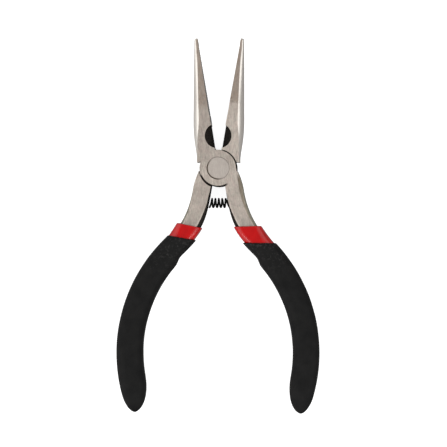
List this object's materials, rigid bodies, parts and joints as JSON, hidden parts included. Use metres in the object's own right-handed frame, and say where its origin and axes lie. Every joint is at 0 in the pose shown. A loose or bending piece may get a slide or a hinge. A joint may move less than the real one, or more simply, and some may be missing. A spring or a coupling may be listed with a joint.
{
  "type": "long nose pliers",
  "caption": "Mini long-nose pliers with side cutters, a flush-riveted lap joint, an opening coil spring and bowed handles with red inner and black outer grips.",
  "frame": {"origin": "middle of the length and width, on the plane that the back of the head and the grips rest on", "axes": "+Y towards the jaw tips along the closing line, +Z out of the front face, +X to the right of the front face"},
  "size_m": [0.0684, 0.1258, 0.009],
  "materials": {
    "forged_steel": "ground faces over black-oxide forging",
    "rivet_steel": "ground flush with the faces",
    "spring_steel": "black oxide",
    "red_vinyl": "glossy dip",
    "black_grip": "matte, finely textured"
  },
  "bodies": {
    "front": {"front_lever": "forged_steel", "pivot_rivet": "rivet_steel", "return_spring": "spring_steel", "right_sleeve": "red_vinyl", "right_grip": "black_grip"},
    "rear": {"rear_lever": "forged_steel", "left_sleeve": "red_vinyl", "left_grip": "black_grip"}
  },
  "joints": [
    {"name": "jaw_pivot", "type": "hinge", "parent": "front", "child": "rear", "pos_m": [0, 0.01918, 0.0045], "axis": [0, 0, 1], "range_deg": [-20, 18.8], "stiffness_Nm_per_rad": 0.35, "deforming": ["return_spring"]}
  ]
}
